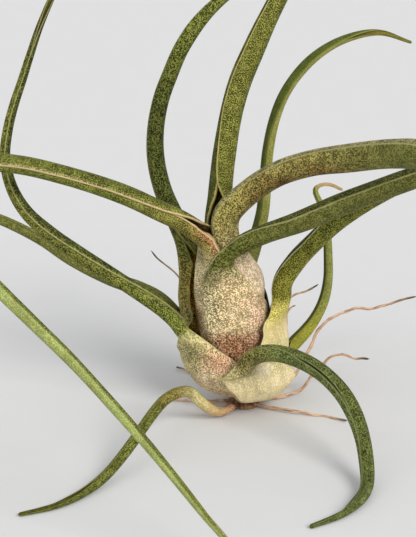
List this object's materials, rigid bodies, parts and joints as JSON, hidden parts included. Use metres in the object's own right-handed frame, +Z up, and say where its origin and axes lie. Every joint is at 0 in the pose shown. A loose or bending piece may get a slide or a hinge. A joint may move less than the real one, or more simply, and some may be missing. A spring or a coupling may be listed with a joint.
{
  "type": "air plant (tillandsia bulbosa hybrid)",
  "caption": "Small air plant: a false bulb of overlapping leaf sheaths on a short rooted stem, with long, arching, rolled leaf blades that taper to fine tips.",
  "frame": {"origin": "middle of the stem's flat foot, on the surface that the plant rests on", "axes": "+X to the plant's right as in the picture, +Y to its back, +Z up"},
  "size_m": [0.1816, 0.1313, 0.1294],
  "materials": {
    "inner_leaf": "matte, speckled with pale scales",
    "outer_leaf": "matte, speckled with pale scales",
    "pale_leaf": "matte, cream sheath and grey-green blade",
    "stem": "rough"
  },
  "bodies": {
    "root": {"stem_with_roots": "stem", "leaf_01_centre": "inner_leaf", "leaf_02_top_right": "inner_leaf", "leaf_03_left": "inner_leaf", "leaf_04_front": "inner_leaf", "leaf_05_back_right": "outer_leaf", "leaf_06_back_left": "outer_leaf", "leaf_07_right": "outer_leaf", "leaf_08_far_left": "outer_leaf", "leaf_09_lower_left": "outer_leaf", "leaf_10_curled_right": "outer_leaf", "leaf_11_lower_front": "pale_leaf", "leaf_12_low_left": "outer_leaf"}
  },
  "joints": []
}
